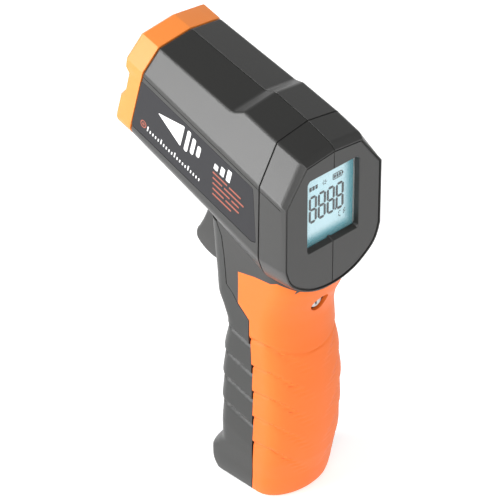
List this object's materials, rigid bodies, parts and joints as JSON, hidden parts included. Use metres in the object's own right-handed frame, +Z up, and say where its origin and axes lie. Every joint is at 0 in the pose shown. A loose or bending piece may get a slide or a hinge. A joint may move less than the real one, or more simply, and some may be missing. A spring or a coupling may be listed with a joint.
{
  "type": "infrared thermometer",
  "caption": "Pistol-grip non-contact infrared thermometer with a trigger, a rear display, a nose sensor and laser, and a hinged battery door in the front of the grip.",
  "frame": {"origin": "centre of the foot of the grip, on the surface the thermometer stands on", "axes": "+Z up, -Y towards the nose and the target, +Y towards the display and the user, +X towards the user's left"},
  "size_m": [0.0422, 0.0814, 0.1529],
  "materials": {
    "housing_plastic": "fine spark-eroded satin",
    "orange_rubber": "satin overmould",
    "black_plastic": "satin",
    "white_plastic": "satin",
    "label_film": "printed film",
    "window_glass": "clear polished",
    "lcd_glass": "smooth",
    "lens_glass": "polished",
    "circuit_board": "solder mask",
    "black_rubber": "matt",
    "steel": "plated",
    "brass": "turned",
    "battery_jacket": "printed steel jacket",
    "lead_insulation": "satin"
  },
  "bodies": {
    "housing": {"housing_left": "housing_plastic", "housing_right": "housing_plastic", "nose_bezel": "orange_rubber", "nose_plate": "black_plastic", "side_label_left": "label_film", "side_label_right": "label_film", "display_window": "window_glass", "lcd_panel": "lcd_glass", "lcd_frame": "white_plastic", "backlight_panel": "white_plastic", "contact_strip": "black_rubber", "main_board": "circuit_board", "main_chip": "black_plastic", "sensor_tube": "black_plastic", "ir_lens": "lens_glass", "thermopile_sensor": "steel", "sensor_board": "circuit_board", "laser_module": "brass", "trigger_pin": "steel", "trigger_spring": "steel", "trigger_switch": "black_plastic", "battery": "battery_jacket", "battery_snap": "black_plastic", "battery_leads": "lead_insulation", "door_hinge_pin": "steel", "back_strap": "orange_rubber", "grip_screw": "steel", "housing_screws": "steel", "unit_switch": "black_plastic"},
    "trigger": {"trigger": "housing_plastic"},
    "switch_plunger": {"switch_plunger": "white_plastic"},
    "battery_door": {"battery_door": "housing_plastic"},
    "unit_slider": {"unit_slider": "white_plastic"}
  },
  "joints": [
    {"name": "trigger_pull", "type": "hinge", "parent": "housing", "child": "trigger", "pos_m": [0, -0.0155, 0.1035], "axis": [1, 0, 0], "range_deg": [0, 8], "stiffness_Nm_per_rad": 0.25, "springref_deg": -8.59, "deforming": ["trigger_spring"]},
    {"name": "plunger_slide", "type": "slide", "parent": "housing", "child": "switch_plunger", "axis": [0, 1, 0], "range_m": [0, 0.0022]},
    {"name": "battery_door_swing", "type": "hinge", "parent": "housing", "child": "battery_door", "pos_m": [0, -0.0116, 0.0066], "axis": [1, 0, 0], "range_deg": [0, 60]},
    {"name": "unit_slide", "type": "slide", "parent": "housing", "child": "unit_slider", "axis": [0, 0, 1], "range_m": [0, 0.002]}
  ],
  "couplings": [
    {"joint": "plunger_slide", "follows": "trigger_pull", "m_per_rad": 0.0155}
  ]
}
